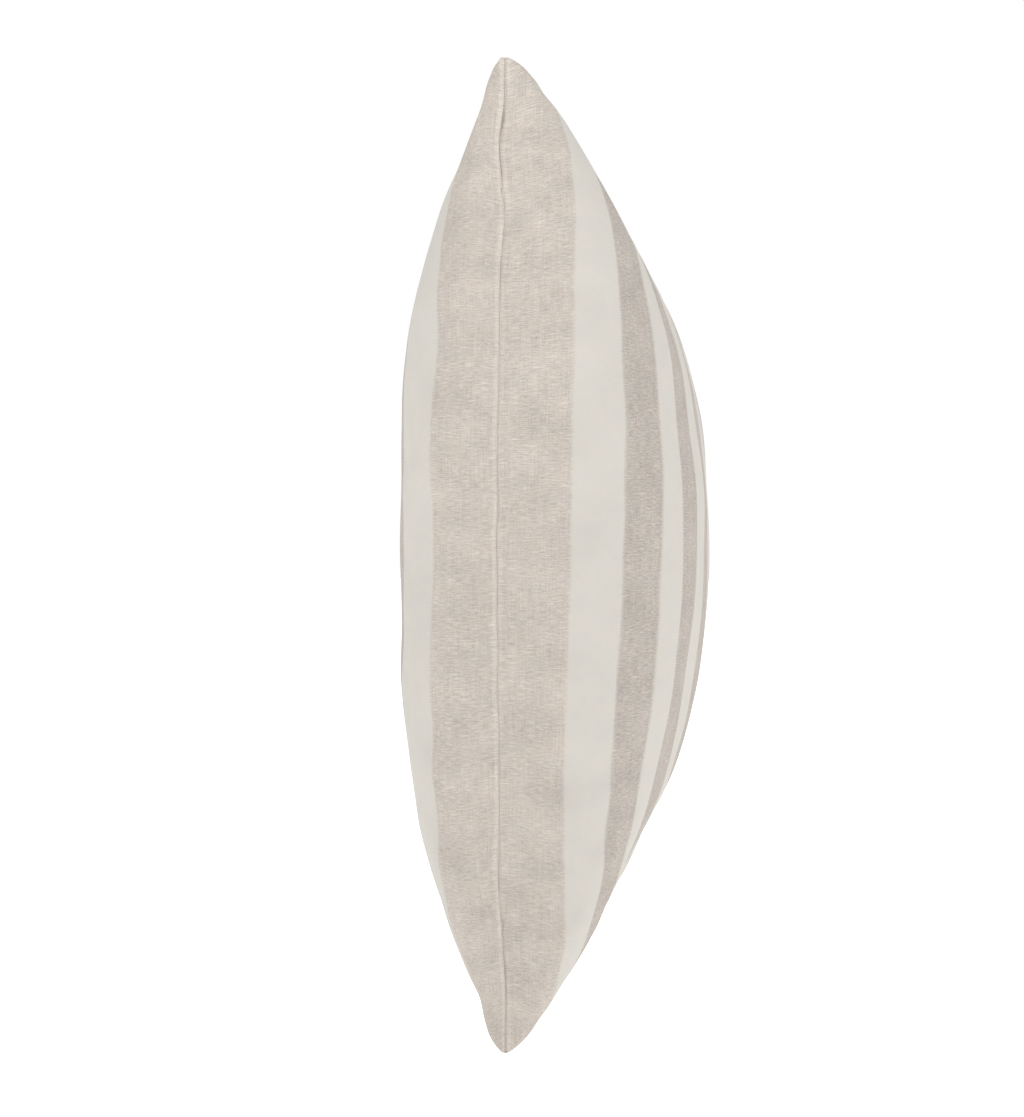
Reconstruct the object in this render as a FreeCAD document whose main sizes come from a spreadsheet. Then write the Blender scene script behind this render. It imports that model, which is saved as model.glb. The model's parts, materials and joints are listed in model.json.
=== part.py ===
import FreeCAD, Part
import math
import os
import Sketcher

# Square throw pillow: a striped woven cover with a concealed zipper in its bottom edge, and a
# stuffed insert inside. Z is up, the front face looks along -Y, and the seam lies in a plane
# across Y. The origin is at the centre of the footprint, level with the two lower corner tips.

DIMENSIONS = {
    "corner_half": 247.0,          # centre to corner tip, along X and along Z
    "middle_half": 208.0,          # centre to the middle of an edge, which is pulled in
    "front_depth": 90.5,           # seam plane to the front face
    "back_depth": 70.5,            # seam plane to the back face
    "flat_drop": 3.0,              # how much the crown loses where it is pressed flat
    "crown_power": 0.85,           # below 1 the crown's section is fuller than an ellipse
    "edge_share": 0.06,            # how far the crown's section leans in where it meets the seam
    "cover_cloth": 0.8,
    "ticking_cloth": 0.5,
    "panel_gap": 0.2,              # between the two panels of a seam
    "layer_gap": 0.4,              # between the cover and the insert, and inside the insert
    "cover_allowance": 10.0,
    "insert_inset": 20.0,          # cover seam to insert seam
    "ticking_allowance": 6.0,
    "fill_clearance": 0.5,
    "slit_half_width": 1.2,
    "slit_half_length": 172.0,
    "tape_half_length": 170.0,
    "tape_cloth": 0.35,
    "tape_level": 4.3,             # seam edge to the tape's lower face, beside the coil
    "tape_bend": 4.2,              # seam plane to where the tape starts to slope
    "tape_edge": 12.0,
    "tape_edge_level": 6.6,
    "chain_half_length": 160.0,
    "stop_length": 3.0,
    "coil_inner": 0.65,
    "coil_outer": 2.85,
    "coil_low": 2.95,
    "coil_wire": 0.35,
    "coil_turn": 0.8,
    "coil_pitch": 1.6,
    "slider_half_length": 4.0,
    "slider_half_width": 3.7,
    "slider_floor_low": 2.05,
    "slider_floor_high": 2.65,
    "slider_lip_inner": 3.15,
    "slider_lip_high": 3.95,
    "slider_roof_low": 4.95,
    "slider_roof_high": 5.65,
    "slider_web_half": 0.35,
    "slider_web_start": 0.5,
    "slider_stop_gap": 0.5,
    "bail_half_width": 0.8,
    "bail_outer_half": 2.8,
    "bail_inner_half": 1.8,
    "bail_crown_inner": 2.85,      # seam edge to the inner side of the bail's crown, outwards
    "bail_crown_outer": 3.95,
    "pull_pivot": 2.2,             # seam edge to the pull's pivot, outwards
    "pull_bar_radius": 0.5,
    "pull_half_width": 2.2,
    "pull_eye_half": 1.2,
    "pull_eye_depth": 4.0,
    "pull_length": 18.0,
    "pull_thickness": 1.0,
    "pull_end_radius": 1.8,
    "thread": 0.3,
    "stitch_length": 2.6,
    "stitch_pitch": 4.0,
    "seam_stitch_inset": 2.0,
    "overlock_bite": 2.5,
    "overlock_pitch": 5.0,
    "tape_stitch_row": 5.2,
    "tape_stitch_low": 0.9,
    "tape_stitch_high": 5.45,
    "closing_half_length": 75.0,
    "label_thickness": 0.3,
    "care_label_width": 12.0,
    "care_label_height": 35.0,
    "insert_label_width": 45.0,
    "insert_label_height": 8.0,
}

CROWN_POINTS = 21
OVERCUT = 0.02                    # how far a cutting solid runs past the face that it opens
CORNER_MARGIN = 8.0               # left free of stitches at each end of an edge

doc = FreeCAD.newDocument("throw_pillow")
PARTS = []


def make_sheet():
    """Write the driving dimensions to the sheet, one aliased cell each."""
    dimensions = doc.addObject("Spreadsheet::Sheet", "Dimensions")
    for row, (alias, value) in enumerate(DIMENSIONS.items(), start=1):
        dimensions.set(f"A{row}", alias)
        dimensions.set(f"B{row}", str(value))
        dimensions.setAlias(f"B{row}", alias)
    doc.recompute()
    return dimensions


sheet = make_sheet()


def size(alias):
    """Read one driving dimension from the sheet."""
    return float(sheet.get(alias))


def bind(thing, prop, formula):
    """Bind a property to the sheet. In the formula, $ stands for the sheet's name."""
    thing.setExpression(prop, formula.replace("$", "Dimensions."))


# Derived places. Each edge of the seam is an arc that bows in, so the bottom one is a circle
# about a centre below the pillow, and the zipper's slider follows it.
PULL_IN = size("corner_half") - size("middle_half")
SEAM_Y = (size("front_depth") - size("back_depth")) / 2
CENTRE_Z = size("corner_half")
EDGE_RADIUS = (size("corner_half") ** 2 + PULL_IN ** 2) / (2 * PULL_IN)
EDGE_CENTRE_Z = PULL_IN - EDGE_RADIUS
RADIUS_FORMULA = ("(($corner_half^2 + ($corner_half - $middle_half)^2)"
                  " / (2 * ($corner_half - $middle_half)))")
FRONT = -1
BACK = 1


def arc_angle(length):
    """Degrees that a length along the bottom edge takes."""
    return math.degrees(length / EDGE_RADIUS)


def check(thing):
    """Stop if an object failed to build."""
    for state in thing.State:
        if state in ("Invalid", "Error"):
            raise RuntimeError(f"{thing.Name} is {thing.State}")


def keep(thing, label):
    """Make an object one of the pillow's sub-parts."""
    thing.Label = label
    PARTS.append(thing)
    return thing


def feature(name, shape):
    """Put a shape made here into the document."""
    thing = doc.addObject("Part::Feature", name)
    thing.Shape = shape
    return thing


# ---- crowned panels ---------------------------------------------------------------------------

def outline(inset):
    """Corner, middle and arc radius of the seam's outline, moved inwards all round."""
    radius = EDGE_RADIUS + inset
    reach = size("middle_half") + EDGE_RADIUS
    corner = (reach - math.sqrt(2 * radius ** 2 - reach ** 2)) / 2
    return corner, size("middle_half") - inset, radius


def edge_drop(place, radius):
    """How far an edge's arc has come outwards from its middle at a place along it."""
    return radius - math.sqrt(radius ** 2 - place ** 2)


def crown_point(across, up, inset, base, top, side):
    """One point of a crowned panel, for across and up from -1 to 1."""
    corner, middle, radius = outline(inset)
    share = size("edge_share")
    quarter = math.pi / 2
    place_x = (1 - share) * math.sin(across * quarter) + share * across
    place_z = (1 - share) * math.sin(up * quarter) + share * up
    rise = max(math.cos(across * quarter) * math.cos(up * quarter), 0.0)
    if max(abs(across), abs(up)) == 1:
        rise = 0.0
    height = (top - base) * rise ** size("crown_power")
    x = place_x * (middle + edge_drop(place_z * corner, radius))
    z = place_z * (middle + edge_drop(place_x * corner, radius))
    return FreeCAD.Vector(x, SEAM_Y + side * (base + height), CENTRE_Z + z)


def crown(name, inset, base, top, side):
    """A solid between a crowned surface and the flat plane that its rim lies in."""
    steps = [2 * k / (CROWN_POINTS - 1) - 1 for k in range(CROWN_POINTS)]
    grid = [[crown_point(across, up, inset, base, top, side) for up in steps] for across in steps]
    surface = Part.BSplineSurface()
    surface.interpolate(grid)
    dome = surface.toShape()
    rim = Part.Face(Part.Wire(Part.sortEdges(dome.Edges)[0]))
    shell = Part.Shell([dome, rim])
    shell.sewShape()
    solid = Part.Solid(shell)
    if solid.Volume < 0:
        solid.reverse()
    return feature(name, solid)


def pressed(raw, name, depth_formula, side):
    """Cut a crown off flat at a depth from the seam plane."""
    slab = doc.addObject("Part::Box", name + "_limit")
    bind(slab, "Length", "2 * $corner_half + 20")
    bind(slab, "Height", "2 * $corner_half + 20")
    bind(slab, "Width", depth_formula)
    bind(slab, "Placement.Base.x", "-$corner_half - 10")
    bind(slab, "Placement.Base.z", "-10")
    seam = "($front_depth - $back_depth) / 2"
    low_side = f"{seam} - ({depth_formula})" if side == FRONT else seam
    bind(slab, "Placement.Base.y", low_side)
    result = doc.addObject("Part::MultiCommon", name)
    result.Shapes = [raw, slab]
    return result


def allowance_opening(name, inset, cloth):
    """The space inside a seam allowance: a plate with four bowed sides, through the seam plane."""
    corner, middle, _ = outline(inset)
    tips = [(-corner, -corner), (corner, -corner), (corner, corner), (-corner, corner)]
    middles = [(0, -middle), (middle, 0), (0, middle), (-middle, 0)]
    edges = []
    for k in range(4):
        start = FreeCAD.Vector(tips[k][0], 0, tips[k][1])
        through = FreeCAD.Vector(middles[k][0], 0, middles[k][1])
        end = FreeCAD.Vector(tips[(k + 1) % 4][0], 0, tips[(k + 1) % 4][1])
        edges.append(Part.Arc(start, through, end).toShape())
    depth = size("panel_gap") / 2 + cloth + OVERCUT
    plate = Part.Face(Part.Wire(edges)).extrude(FreeCAD.Vector(0, 2 * depth, 0))
    plate.translate(FreeCAD.Vector(0, SEAM_Y - depth, CENTRE_Z))
    return feature(name, plate)


def sewn_panel(label, side, inset, cloth, below_cover, allowance, extra_cuts):
    """A crowned cloth panel with its turned-in seam allowance. The wall is two cloths thick in
    the seam plane, where the cloth folds back on itself, and one cloth thick over the crown."""
    depth_name = "front_depth" if side == FRONT else "back_depth"
    drop = size("flat_drop")
    top = size(depth_name) + drop - below_cover
    base = size("panel_gap") / 2
    outer = crown(label + "_outer", inset, base, top, side)
    inner = crown(label + "_inner", inset + 2 * cloth, base + cloth, top - cloth, side)
    outer_flat = pressed(outer, label + "_outer_flat", f"${depth_name} - {below_cover}", side)
    inner_flat = pressed(inner, label + "_inner_flat", f"${depth_name} - {below_cover + cloth}", side)
    opening = allowance_opening(label + "_opening", inset + allowance, cloth)
    hollow = doc.addObject("Part::MultiFuse", label + "_hollow")
    hollow.Shapes = [inner_flat, opening] + extra_cuts
    panel = doc.addObject("Part::Cut", label)
    panel.Base = outer_flat
    panel.Tool = hollow
    return keep(panel, label)


def fill_solid():
    """The fibre filling: two crowns that meet at the seam plane."""
    inset = (size("insert_inset") + size("ticking_cloth") + size("ticking_allowance")
             + size("fill_clearance"))
    below = size("cover_cloth") + size("layer_gap") + size("ticking_cloth") + size("layer_gap")
    halves = []
    for side, depth_name, name in ((FRONT, "front_depth", "fill_front"), (BACK, "back_depth", "fill_back")):
        top = size(depth_name) + size("flat_drop") - below
        raw = crown(name + "_raw", inset, 0, top, side)
        halves.append(pressed(raw, name, f"${depth_name} - {below}", side))
    fill = doc.addObject("Part::MultiFuse", "insert_fill")
    fill.Shapes = halves
    return keep(fill, "insert_fill")


# ---- bodies revolved along the bottom edge ----------------------------------------------------

def origin_plane(body, role):
    """A body's own origin plane."""
    return next(plane for plane in body.Origin.OriginFeatures if plane.Role == role)


def profile(body, name, role, corners):
    """A closed sketch whose corners are pairs of formulas, each bound to the sheet."""
    sketch = body.newObject("Sketcher::SketchObject", name)
    sketch.AttachmentSupport = [(origin_plane(body, role), "")]
    sketch.MapMode = "FlatFace"
    count = len(corners)
    places = [FreeCAD.Vector(evaluate(x), evaluate(y), 0) for x, y in corners]
    for k in range(count):
        sketch.addGeometry(Part.LineSegment(places[k], places[(k + 1) % count]), False)
    for k in range(count):
        sketch.addConstraint(Sketcher.Constraint("Coincident", k, 2, (k + 1) % count, 1))
    for k, (x, y) in enumerate(corners):
        for kind, value, formula in (("DistanceX", places[k].x, x), ("DistanceY", places[k].y, y)):
            index = sketch.addConstraint(Sketcher.Constraint(kind, -1, 1, k, 1, value))
            bind(sketch, f"Constraints[{index}]", formula)
    return sketch


def evaluate(formula):
    """The value of a formula, worked out by the sheet."""
    return float(sheet.evalExpression(formula.replace("$", "Dimensions.")))


def edge_axis(sketch):
    """A construction line through the centre of the bottom edge's arc, for a revolution."""
    start = FreeCAD.Vector(0, -EDGE_RADIUS, 0)
    end = FreeCAD.Vector(10, -EDGE_RADIUS, 0)
    line = sketch.addGeometry(Part.LineSegment(start, end), True)
    sketch.addConstraint(Sketcher.Constraint("Horizontal", line))
    index = sketch.addConstraint(Sketcher.Constraint("DistanceY", -1, 1, line, 1, -EDGE_RADIUS))
    bind(sketch, f"Constraints[{index}]", "-" + RADIUS_FORMULA)
    sketch.addConstraint(Sketcher.Constraint("PointOnObject", line, 1, -2))
    index = sketch.addConstraint(Sketcher.Constraint("DistanceX", line, 1, line, 2, 10))
    return sketch


def place_on_edge(thing, arc_length):
    """Put a body, made at the middle of the bottom edge, a distance along the edge's arc."""
    angle = arc_angle(arc_length)
    turn = FreeCAD.Rotation(FreeCAD.Vector(0, 1, 0), angle)
    arm = turn.multVec(FreeCAD.Vector(0, 0, EDGE_RADIUS))
    thing.Placement = FreeCAD.Placement(arm + FreeCAD.Vector(0, SEAM_Y, EDGE_CENTRE_Z), turn)


def along_edge(name, corners, arc_formula, arc_place=0.0):
    """A body with a constant section that follows the bottom edge's arc."""
    body = doc.addObject("PartDesign::Body", name)
    sketch = edge_axis(profile(body, name + "_section", "YZ_Plane", corners))
    sweep = body.newObject("PartDesign::Revolution", name + "_sweep")
    sweep.Profile = sketch
    sweep.ReferenceAxis = (sketch, ["Axis0"])
    sweep.Midplane = True
    bind(sweep, "Angle", f"2 * ({arc_formula}) / {RADIUS_FORMULA} * 180 / 3.14159265358979")
    body.Tip = sweep
    place_on_edge(body, arc_place)
    return body


def rectangle(left, right, low, high):
    """Corner formulas of an upright rectangle."""
    return [(left, low), (right, low), (right, high), (left, high)]


def mirrored(corners, side):
    """The same corners on the front (-1) or the back (1) of the seam plane."""
    if side == BACK:
        return corners
    return [(f"-({x})", y) for x, y in reversed(corners)]


def zipper_slit():
    """The space that the slider's bail runs in, between the two panels' turned edges."""
    corners = rectangle("-$slit_half_width", "$slit_half_width", "-2", "$cover_allowance + 2")
    return along_edge("zipper_slit", corners, "$slit_half_length")


def zipper_tape(label, side):
    """One tape: level beside the coil, then sloping up along the cover's panel."""
    corners = [
        ("$coil_inner", "$tape_level"),
        ("$tape_bend", "$tape_level"),
        ("$tape_edge", "$tape_edge_level"),
        ("$tape_edge", "$tape_edge_level + $tape_cloth"),
        ("$tape_bend", "$tape_level + $tape_cloth"),
        ("$coil_inner", "$tape_level + $tape_cloth"),
    ]
    keep(along_edge(label, mirrored(corners, side), "$tape_half_length"), label)


def edge_copies(shape, arc_places, quarter_turns=(0,)):
    """Copies of a shape, made at the middle of the bottom edge, along one or more edges."""
    copies = []
    centre = FreeCAD.Vector(0, SEAM_Y, CENTRE_Z)
    arc_centre = FreeCAD.Vector(0, SEAM_Y, EDGE_CENTRE_Z)
    axis = FreeCAD.Vector(0, 1, 0)
    for quarter in quarter_turns:
        for place in arc_places:
            copy = shape.copy()
            copy.rotate(arc_centre, axis, arc_angle(place))
            copy.rotate(centre, axis, 90 * quarter)
            copies.append(copy)
    return copies


def even_places(start, end, pitch):
    """Places at about the pitch, from start to end."""
    count = int((end - start) / pitch)
    spare = (end - start) - count * pitch
    return [start + spare / 2 + k * pitch for k in range(count + 1)]


def coil_ring(side):
    """One turn of the coil, as a closed loop of monofilament round its core."""
    inner = size("coil_inner")
    outer = size("coil_outer")
    low = size("coil_low")
    high = size("tape_level") - 0.02
    wire = size("coil_wire")
    turn = size("coil_turn")
    whole = Part.makeBox(turn, outer - inner, high - low)
    hole = Part.makeBox(turn, outer - inner - 2 * wire, high - low - 2 * wire, FreeCAD.Vector(0, wire, wire))
    ring = whole.cut(hole)
    y = SEAM_Y + (inner if side == BACK else -outer)
    ring.translate(FreeCAD.Vector(-turn / 2, y, PULL_IN + low))
    return ring


def zipper_coil(label, side):
    """All the turns of one coil, between the stops."""
    free_half = size("chain_half_length") - size("stop_length") - size("coil_turn")
    places = even_places(-free_half, free_half, size("coil_pitch"))
    keep(feature(label, Part.makeCompound(edge_copies(coil_ring(side), places))), label)


def zipper_stops():
    """The two top stops, one on each coil, and the bottom stop, which joins both."""
    stop_place = size("chain_half_length") - size("stop_length") / 2
    low = "$coil_low"
    high = "$tape_level - 0.02"
    halves = []
    for side, name in ((FRONT, "top_stop_front"), (BACK, "top_stop_back")):
        corners = mirrored(rectangle("$coil_inner", "$coil_outer", low, high), side)
        halves.append(along_edge(name, corners, "$stop_length / 2", stop_place))
    top = doc.addObject("Part::Compound", "zipper_top_stops")
    top.Links = halves
    keep(top, "zipper_top_stops")
    corners = rectangle("-$coil_outer", "$coil_outer", low, high)
    keep(along_edge("zipper_bottom_stop", corners, "$stop_length / 2", -stop_place), "zipper_bottom_stop")


# ---- slider and pull --------------------------------------------------------------------------

def pad(body, name, sketch, length_formula):
    """A pad centred on its sketch's plane."""
    block = body.newObject("PartDesign::Pad", name)
    block.Profile = sketch
    block.Midplane = True
    bind(block, "Length", length_formula)
    body.Tip = block
    return block


def slider_rest_place():
    """Where the slider rests, closed, against the top stops."""
    return (size("chain_half_length") - size("stop_length") - size("slider_stop_gap")
            - size("slider_half_length"))


def zipper_slider():
    """A floor with two lips under the coils, a roof over the tapes, the wedge that joins them,
    and the bail, an arch that stands out through the slit."""
    body = doc.addObject("PartDesign::Body", "zipper_slider_body")
    half = "$slider_half_width"
    channel = [
        ("-" + half, "$slider_floor_low"),
        (half, "$slider_floor_low"),
        (half, "$slider_lip_high"),
        ("$slider_lip_inner", "$slider_lip_high"),
        ("$slider_lip_inner", "$slider_floor_high"),
        ("-$slider_lip_inner", "$slider_floor_high"),
        ("-$slider_lip_inner", "$slider_lip_high"),
        ("-" + half, "$slider_lip_high"),
    ]
    pad(body, "slider_floor", profile(body, "floor_section", "YZ_Plane", channel),
        "2 * $slider_half_length")
    web = rectangle("$slider_web_start", "$slider_half_length", "$slider_floor_high - 0.1",
                    "$slider_roof_low + 0.1")
    pad(body, "slider_wedge", profile(body, "wedge_side", "XZ_Plane", web), "2 * $slider_web_half")
    roof = rectangle("-" + half, half, "$slider_roof_low", "$slider_roof_high")
    pad(body, "slider_roof", profile(body, "roof_section", "YZ_Plane", roof),
        "2 * $slider_half_length")
    arch = [
        ("-$bail_outer_half", "$slider_floor_low + 0.1"),
        ("-$bail_outer_half", "-$bail_crown_inner"),
        ("-$bail_inner_half", "-$bail_crown_outer"),
        ("$bail_inner_half", "-$bail_crown_outer"),
        ("$bail_outer_half", "-$bail_crown_inner"),
        ("$bail_outer_half", "$slider_floor_low + 0.1"),
        ("$bail_inner_half", "$slider_floor_low + 0.1"),
        ("$bail_inner_half", "-$bail_crown_inner"),
        ("-$bail_inner_half", "-$bail_crown_inner"),
        ("-$bail_inner_half", "$slider_floor_low + 0.1"),
    ]
    pad(body, "slider_bail", profile(body, "bail_side", "XZ_Plane", arch), "2 * $bail_half_width")
    place_on_edge(body, slider_rest_place())
    keep(body, "zipper_slider_body")


def zipper_pull():
    """The pull: a plate with an eye round the bail's crown, hanging straight down."""
    body = doc.addObject("PartDesign::Body", "zipper_pull_tab")
    half = "$pull_half_width"
    plate = rectangle("-" + half, half, "-$pull_length", "0")
    pad(body, "pull_plate", profile(body, "plate_outline", "YZ_Plane", plate), "$pull_thickness")
    eye_outline = rectangle("-$pull_eye_half", "$pull_eye_half", "-$pull_eye_depth",
                            "-$pull_bar_radius")
    eye = body.newObject("PartDesign::Pocket", "pull_eye")
    eye.Profile = profile(body, "eye_outline", "YZ_Plane", eye_outline)
    eye.Type = "ThroughAll"
    eye.Midplane = True
    body.Tip = eye
    bar = body.newObject("Sketcher::SketchObject", "bar_section")
    bar.AttachmentSupport = [(origin_plane(body, "XZ_Plane"), "")]
    bar.MapMode = "FlatFace"
    bar.addGeometry(Part.Circle(FreeCAD.Vector(0, 0, 0), FreeCAD.Vector(0, 0, 1), 0.5), False)
    bar.addConstraint(Sketcher.Constraint("Coincident", 0, 3, -1, 1))
    index = bar.addConstraint(Sketcher.Constraint("Radius", 0, 0.5))
    bind(bar, f"Constraints[{index}]", "$pull_bar_radius")
    barred = pad(body, "pull_bar", bar, "2 * $pull_half_width")
    doc.recompute()
    lower = [name for name, edge in named_edges(barred.Shape) if at_pull_end(edge)]
    rounding = body.newObject("PartDesign::Fillet", "pull_end")
    rounding.Base = (barred, lower)
    bind(rounding, "Radius", "$pull_end_radius")
    body.Tip = rounding
    angle = arc_angle(slider_rest_place())
    arm = EDGE_RADIUS - size("pull_pivot")
    x = arm * math.sin(math.radians(angle))
    z = EDGE_CENTRE_Z + arm * math.cos(math.radians(angle))
    body.Placement = FreeCAD.Placement(FreeCAD.Vector(x, SEAM_Y, z), FreeCAD.Rotation())
    keep(body, "zipper_pull_tab")


def named_edges(shape):
    """Every edge of a shape with the name that a fillet takes it by."""
    return [(f"Edge{k}", edge) for k, edge in enumerate(shape.Edges, start=1)]


def at_pull_end(edge):
    """Whether an edge is one of the two that run through the pull's thickness at its free end."""
    box = edge.BoundBox
    through = box.XLength > size("pull_thickness") / 2 and box.YLength < 0.01
    return through and box.ZMax < -size("pull_length") + 0.01


# ---- stitches and labels ----------------------------------------------------------------------

def staple(near, far, length, thread):
    """One stitch as a closed staple in the X-Y plane: two legs through the cloth, from near to
    far across the seam plane, and the thread on each face."""
    outer = Part.makeBox(length, far - near, thread, FreeCAD.Vector(-length / 2, near, 0))
    gap = Part.makeBox(length - 2 * thread, far - near - 2 * thread, thread,
                       FreeCAD.Vector(-length / 2 + thread, near + thread, 0))
    return outer.cut(gap)


def seam_stitch(cloth, inset):
    """A lockstitch through both allowances, at the middle of the bottom edge."""
    reach = size("panel_gap") / 2 + cloth + size("thread")
    stitch = staple(-reach, reach, size("stitch_length"), size("thread"))
    stitch.translate(FreeCAD.Vector(0, SEAM_Y, PULL_IN + inset))
    return stitch


def corner_reach(inset):
    """How far along an edge's arc a row of stitches runs before it meets the next side's row."""
    corner, _, radius = outline(inset)
    return EDGE_RADIUS * math.asin((corner - CORNER_MARGIN) / radius)


def cover_seam_stitching():
    """Stitches round three sides, and on the bottom edge beyond both ends of the zipper."""
    inset = size("seam_stitch_inset")
    reach = corner_reach(inset)
    pitch = size("stitch_pitch")
    stitch = seam_stitch(size("cover_cloth"), inset)
    three_sides = edge_copies(stitch, even_places(-reach, reach, pitch), (1, 2, 3))
    start = size("slit_half_length") + pitch
    ends = even_places(start, reach, pitch)
    ends = ends + [-place for place in ends]
    return keep(feature("cover_seam_stitching", Part.makeCompound(three_sides + edge_copies(stitch, ends))),
                "cover_seam_stitching")


def overlock_loop():
    """One overlock loop round the raw edges of both allowances."""
    cloth = size("cover_cloth")
    thread = size("thread")
    bite = size("overlock_bite")
    reach = size("panel_gap") / 2 + cloth + thread
    outer = Part.makeBox(thread, 2 * reach, bite + thread, FreeCAD.Vector(0, -reach, 0))
    inner = Part.makeBox(thread, 2 * (reach - thread), bite - thread, FreeCAD.Vector(0, thread - reach, thread))
    loop = outer.cut(inner)
    loop.translate(FreeCAD.Vector(0, SEAM_Y, PULL_IN + size("cover_allowance") - bite))
    return loop


def cover_overlock_thread():
    """Overlock loops along the raw edges, round the three sides that are sewn shut."""
    reach = corner_reach(size("cover_allowance"))
    places = even_places(-reach, reach, size("overlock_pitch"))
    loops = edge_copies(overlock_loop(), places, (1, 2, 3))
    keep(feature("cover_overlock_thread", Part.makeCompound(loops)), "cover_overlock_thread")


def tape_stitch(side):
    """One stitch that holds a tape to the cover's panel, at the middle of the bottom edge."""
    low = size("tape_stitch_low")
    high = size("tape_stitch_high")
    stitch = staple(low, high, size("stitch_length"), size("thread"))
    stitch.rotate(FreeCAD.Vector(0, 0, 0), FreeCAD.Vector(1, 0, 0), 90)
    y = SEAM_Y + side * size("tape_stitch_row")
    stitch.translate(FreeCAD.Vector(0, y, PULL_IN))
    return stitch


def zipper_tape_stitching():
    """A row of stitches along each tape."""
    reach = size("tape_half_length") - size("stitch_pitch")
    places = even_places(-reach, reach, size("stitch_pitch"))
    rows = edge_copies(tape_stitch(FRONT), places) + edge_copies(tape_stitch(BACK), places)
    keep(feature("zipper_tape_stitching", Part.makeCompound(rows)), "zipper_tape_stitching")


def insert_stitching():
    """The insert's machine stitches, and the closing stitches over the gap it is filled by."""
    inset = size("insert_inset") + size("seam_stitch_inset")
    reach = corner_reach(inset)
    pitch = size("stitch_pitch")
    stitch = seam_stitch(size("ticking_cloth"), inset)
    seam = edge_copies(stitch, even_places(-reach, reach, pitch), (1, 2, 3))
    gap = size("closing_half_length")
    ends = even_places(gap + pitch, reach, pitch)
    seam = seam + edge_copies(stitch, ends + [-place for place in ends])
    keep(feature("insert_seam_stitching", Part.makeCompound(seam)), "insert_seam_stitching")
    thread = size("thread")
    half = size("panel_gap") / 2 + size("ticking_cloth") + thread
    whip = staple(-half, half, 2 * thread + size("ticking_cloth") + thread, thread)
    whip.rotate(FreeCAD.Vector(0, 0, 0), FreeCAD.Vector(0, 1, 0), 90)
    whip.translate(FreeCAD.Vector(0, SEAM_Y, PULL_IN + size("insert_inset") + thread))
    closing = edge_copies(whip, even_places(-gap, gap, pitch))
    keep(feature("insert_closing_stitches", Part.makeCompound(closing)), "insert_closing_stitches")


def label_plate(label, length, width, height, corner):
    """A blank label: a thin plate, with its lowest corner at three formulas."""
    plate = doc.addObject("Part::Box", label)
    for prop, formula in (("Length", length), ("Width", width), ("Height", height)):
        bind(plate, prop, formula)
    for axis, formula in zip("xyz", corner):
        bind(plate, f"Placement.Base.{axis}", formula)
    return keep(plate, label)


def labels():
    """The care label on the cover's allowance, and the insert's label in its top seam."""
    seam = "($front_depth - $back_depth) / 2"
    label_plate("care_label", "$care_label_width", "$label_thickness", "$care_label_height",
                ("$middle_half - $cover_allowance - $care_label_width + 4",
                 seam + " + $panel_gap / 2 + $cover_cloth + $thread + 0.1",
                 "$corner_half - $care_label_height / 2"))
    label_plate("insert_label", "$insert_label_width", "$label_thickness", "$insert_label_height",
                ("-$insert_label_width / 2",
                 seam + " - $label_thickness / 2",
                 "$corner_half + $middle_half - $insert_inset + 1"))


# ---- the whole pillow -------------------------------------------------------------------------

def build():
    slit = zipper_slit()
    cover = ("cover_cloth", "cover_allowance")
    cloth, allowance = (size(name) for name in cover)
    sewn_panel("cover_front_panel", FRONT, 0, cloth, 0, allowance, [slit])
    sewn_panel("cover_back_panel", BACK, 0, cloth, 0, allowance, [slit])
    cover_seam_stitching()
    cover_overlock_thread()
    zipper_tape("zipper_tape_front", FRONT)
    zipper_tape("zipper_tape_back", BACK)
    zipper_coil("zipper_coil_front", FRONT)
    zipper_coil("zipper_coil_back", BACK)
    zipper_stops()
    zipper_slider()
    zipper_pull()
    zipper_tape_stitching()
    labels()
    below = size("cover_cloth") + size("layer_gap")
    for label, side in (("insert_front_ticking", FRONT), ("insert_back_ticking", BACK)):
        sewn_panel(label, side, size("insert_inset"), size("ticking_cloth"), below,
                   size("ticking_allowance"), [])
    insert_stitching()
    fill_solid()


def export():
    """Check every object, then write one file for each sub-part."""
    doc.recompute()
    for thing in doc.Objects:
        check(thing)
    os.makedirs("parts", exist_ok=True)
    for thing in PARTS:
        shape = thing.Shape
        if shape.isNull() or not shape.isValid():
            raise RuntimeError(f"{thing.Label} has no valid shape")
        shape.exportStep(f"parts/{thing.Label}.step")
        box = shape.BoundBox
        print(f"{thing.Label:26s} solids {len(shape.Solids):4d} volume {shape.Volume:12.1f}"
              f" x {box.XMin:7.1f} {box.XMax:7.1f} y {box.YMin:6.1f} {box.YMax:6.1f}"
              f" z {box.ZMin:6.1f} {box.ZMax:6.1f}")


build()
export()
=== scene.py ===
"""A square throw pillow: a striped linen cover with a concealed zipper over a stuffed insert.

The CAD frame gives every size and place. The two cover panels, their stitches and the insert are
made here as sewn cloth; the zipper and the insert's thread are the CAD pieces with new finishes.
Shape work is in millimetres with z measured from the middle of the pillow, until a mesh is made.
"""
import json
import math

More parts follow.
